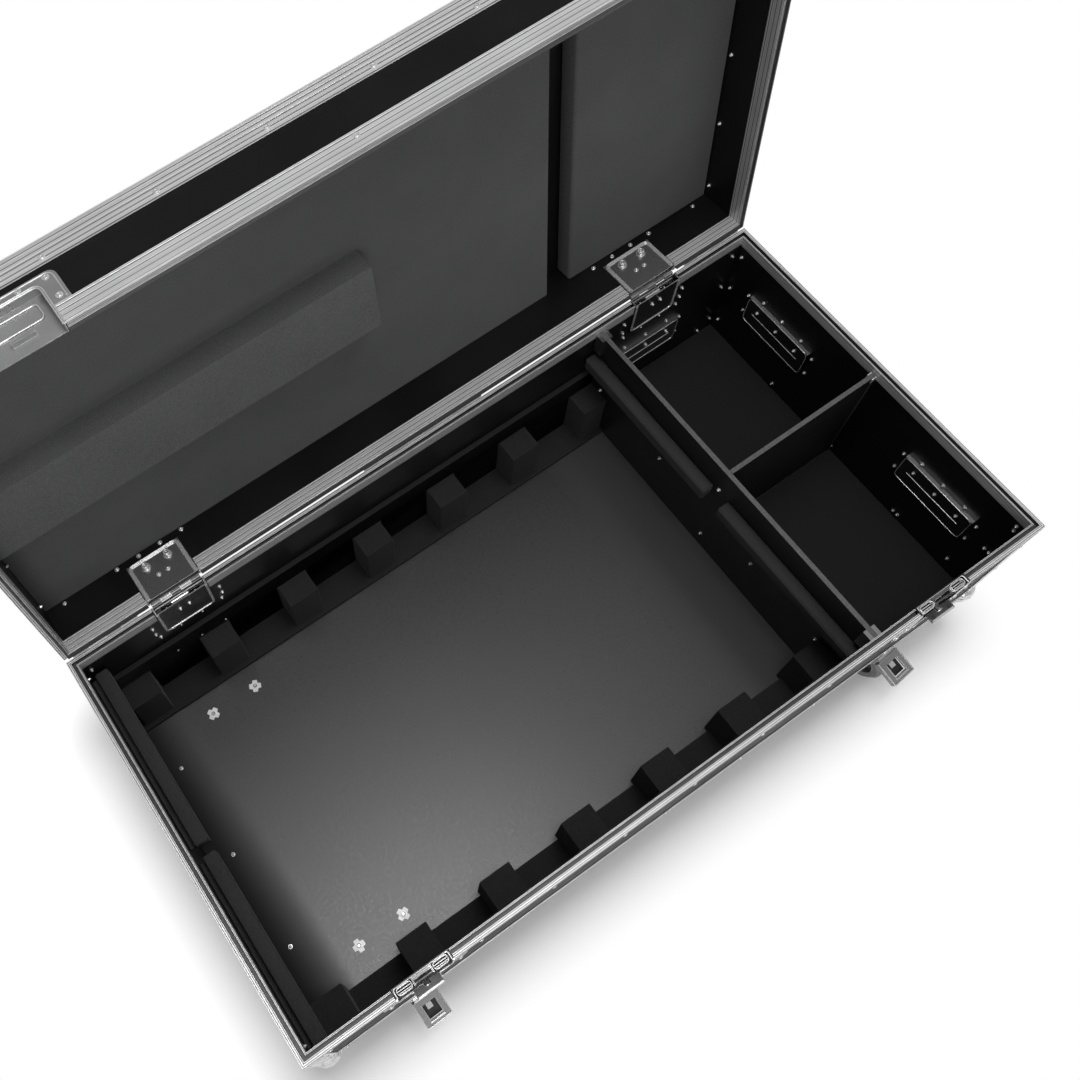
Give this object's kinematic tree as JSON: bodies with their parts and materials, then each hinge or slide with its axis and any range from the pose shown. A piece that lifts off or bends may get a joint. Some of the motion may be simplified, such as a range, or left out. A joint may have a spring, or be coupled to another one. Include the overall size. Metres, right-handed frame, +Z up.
{
  "type": "lighting flight case",
  "caption": "Wheeled flight case for stage lights: hinged foam-lined lid, foam lamp cradles, two accessory bays, sprung handles, twist latches and braked swivel castors.",
  "frame": {"origin": "centre of the floor panel's underside", "axes": "+X along the case towards the accessory bays, -Y towards the latches, +Z up"},
  "size_m": [1.22, 0.8419, 1.0022],
  "materials": {
    "laminate": "black phenolic-faced birch ply",
    "board": "dark grey felt-faced ply",
    "aluminium": "bright anodised extrusion",
    "zinc": "bright zinc-plated pressed steel",
    "foam": "charcoal closed-cell foam",
    "tyre": "dark grey tread on a moulded rim",
    "grip": "black rubber grip on a steel bail"
  },
  "bodies": {
    "base": {"floor_panel": "board", "front_panel": "laminate", "back_panel": "laminate", "left_panel": "laminate", "right_panel": "laminate", "base_rim_front": "aluminium", "base_rim_back": "aluminium", "base_rim_left": "aluminium", "base_rim_right": "aluminium", "base_edging": "aluminium", "hinge_base_left": "zinc", "hinge_base_right": "zinc", "latch_dish_left": "zinc", "latch_dish_right": "zinc", "handle_dish_left_front": "zinc", "handle_dish_left_back": "zinc", "handle_dish_right_front": "zinc", "handle_dish_right_back": "zinc", "cradle_front": "foam", "cradle_back": "foam", "pad_left_front": "foam", "pad_left_back": "foam", "pad_right_front": "foam", "pad_right_back": "foam", "divider": "laminate", "cross_partition": "laminate"},
    "lid": {"lid_top_panel": "laminate", "lid_wall_frame": "laminate", "lid_rim_front": "aluminium", "lid_rim_back": "aluminium", "lid_rim_left": "aluminium", "lid_rim_right": "aluminium", "lid_edging": "aluminium", "hinge_lid_left": "zinc", "hinge_lid_right": "zinc", "keeper_left": "zinc", "keeper_right": "zinc", "lid_foam_left": "foam", "lid_foam_right": "foam"},
    "latch_wing_left": {"latch_wing_left": "zinc"},
    "latch_hook_left": {"latch_hook_left": "zinc"},
    "latch_wing_right": {"latch_wing_right": "zinc"},
    "latch_hook_right": {"latch_hook_right": "zinc"},
    "handle_grip_left_front": {"handle_grip_left_front": "grip"},
    "handle_grip_left_back": {"handle_grip_left_back": "grip"},
    "handle_grip_right_front": {"handle_grip_right_front": "grip"},
    "handle_grip_right_back": {"handle_grip_right_back": "grip"},
    "handle_grip_back_left": {"handle_grip_back_left": "grip"},
    "handle_grip_back_right": {"handle_grip_back_right": "grip"},
    "castor_fork_front_left": {"castor_fork_front_left": "zinc"},
    "castor_wheel_front_left": {"castor_wheel_front_left": "tyre"},
    "brake_pedal_front_left": {"brake_pedal_front_left": "zinc"},
    "castor_fork_front_right": {"castor_fork_front_right": "zinc"},
    "castor_wheel_front_right": {"castor_wheel_front_right": "tyre"},
    "brake_pedal_front_right": {"brake_pedal_front_right": "zinc"},
    "castor_fork_back_left": {"castor_fork_back_left": "zinc"},
    "castor_wheel_back_left": {"castor_wheel_back_left": "tyre"},
    "castor_fork_back_right": {"castor_fork_back_right": "zinc"},
    "castor_wheel_back_right": {"castor_wheel_back_right": "tyre"}
  },
  "joints": [
    {"name": "lid_hinge", "type": "hinge", "parent": "base", "child": "lid", "pos_m": [0, 0.303, 0.275], "axis": [1, 0, 0], "range_deg": [0, 96.4]},
    {"name": "latch_wing_left_turn", "type": "hinge", "parent": "base", "child": "latch_wing_left", "pos_m": [-0.4215, -0.3, 0.237], "axis": [0, 1, 0], "range_deg": [0, 180]},
    {"name": "latch_hook_left_lift", "type": "slide", "parent": "base", "child": "latch_hook_left", "axis": [0, 0, 1], "range_m": [0, 0.01]},
    {"name": "latch_wing_right_turn", "type": "hinge", "parent": "base", "child": "latch_wing_right", "pos_m": [0.4215, -0.3, 0.237], "axis": [0, 1, 0], "range_deg": [0, 180]},
    {"name": "latch_hook_right_lift", "type": "slide", "parent": "base", "child": "latch_hook_right", "axis": [0, 0, 1], "range_m": [0, 0.01]},
    {"name": "handle_grip_left_front_swing", "type": "hinge", "parent": "base", "child": "handle_grip_left_front", "pos_m": [-0.5918, -0.17, 0.1655], "axis": [0, 1, 0], "range_deg": [0, 90], "stiffness_Nm_per_rad": 0.25, "springref_deg": -8.59},
    {"name": "handle_grip_left_back_swing", "type": "hinge", "parent": "base", "child": "handle_grip_left_back", "pos_m": [-0.5918, 0.17, 0.1655], "axis": [0, 1, 0], "range_deg": [0, 90], "stiffness_Nm_per_rad": 0.25, "springref_deg": -8.59},
    {"name": "handle_grip_right_front_swing", "type": "hinge", "parent": "base", "child": "handle_grip_right_front", "pos_m": [0.5918, -0.17, 0.1655], "axis": [0, -1, 0], "range_deg": [0, 90], "stiffness_Nm_per_rad": 0.25, "springref_deg": -8.59},
    {"name": "handle_grip_right_back_swing", "type": "hinge", "parent": "base", "child": "handle_grip_right_back", "pos_m": [0.5918, 0.17, 0.1655], "axis": [0, -1, 0], "range_deg": [0, 90], "stiffness_Nm_per_rad": 0.25, "springref_deg": -8.59},
    {"name": "handle_grip_back_left_swing", "type": "hinge", "parent": "base", "child": "handle_grip_back_left", "pos_m": [-0.4215, 0.2918, 0.1325], "axis": [1, 0, 0], "range_deg": [0, 90], "stiffness_Nm_per_rad": 0.25, "springref_deg": -8.59},
    {"name": "handle_grip_back_right_swing", "type": "hinge", "parent": "base", "child": "handle_grip_back_right", "pos_m": [0.4215, 0.2918, 0.1325], "axis": [1, 0, 0], "range_deg": [0, 90], "stiffness_Nm_per_rad": 0.25, "springref_deg": -8.59},
    {"name": "castor_front_left_swivel", "type": "hinge", "parent": "base", "child": "castor_fork_front_left", "pos_m": [-0.4323, -0.2315, 0], "axis": [0, 0, 1], "continuous": true},
    {"name": "castor_front_left_roll", "type": "hinge", "parent": "castor_fork_front_left", "child": "castor_wheel_front_left", "pos_m": [-0.43164, -0.26949, -0.078], "axis": [0.9998, 0.0174, 0], "continuous": true},
    {"name": "brake_front_left_press", "type": "hinge", "parent": "castor_fork_front_left", "child": "brake_pedal_front_left", "pos_m": [-0.43118, -0.29549, -0.026], "axis": [0.9998, 0.0174, 0], "range_deg": [-14, 0]},
    {"name": "castor_front_right_swivel", "type": "hinge", "parent": "base", "child": "castor_fork_front_right", "pos_m": [0.4323, -0.2315, 0], "axis": [0, 0, 1], "continuous": true},
    {"name": "castor_front_right_roll", "type": "hinge", "parent": "castor_fork_front_right", "child": "castor_wheel_front_right", "pos_m": [0.43594, -0.26933, -0.078], "axis": [0.9954, 0.0958, 0], "continuous": true},
    {"name": "brake_front_right_press", "type": "hinge", "parent": "castor_fork_front_right", "child": "brake_pedal_front_right", "pos_m": [0.43843, -0.29521, -0.026], "axis": [0.9954, 0.0958, 0], "range_deg": [-14, 0]},
    {"name": "castor_back_left_swivel", "type": "hinge", "parent": "base", "child": "castor_fork_back_left", "pos_m": [-0.4323, 0.2315, 0], "axis": [0, 0, 1], "continuous": true},
    {"name": "castor_back_left_roll", "type": "hinge", "parent": "castor_fork_back_left", "child": "castor_wheel_back_left", "pos_m": [-0.4323, 0.2695, -0.078], "axis": [-1, 0, 0], "continuous": true},
    {"name": "castor_back_right_swivel", "type": "hinge", "parent": "base", "child": "castor_fork_back_right", "pos_m": [0.4323, 0.2315, 0], "axis": [0, 0, 1], "continuous": true},
    {"name": "castor_back_right_roll", "type": "hinge", "parent": "castor_fork_back_right", "child": "castor_wheel_back_right", "pos_m": [0.4323, 0.2695, -0.078], "axis": [-1, 0, 0], "continuous": true}
  ],
  "couplings": [
    {"joint": "latch_wing_left_turn", "follows": "latch_hook_left_lift", "rad_per_m": 314.16},
    {"joint": "latch_wing_right_turn", "follows": "latch_hook_right_lift", "rad_per_m": 314.16}
  ]
}
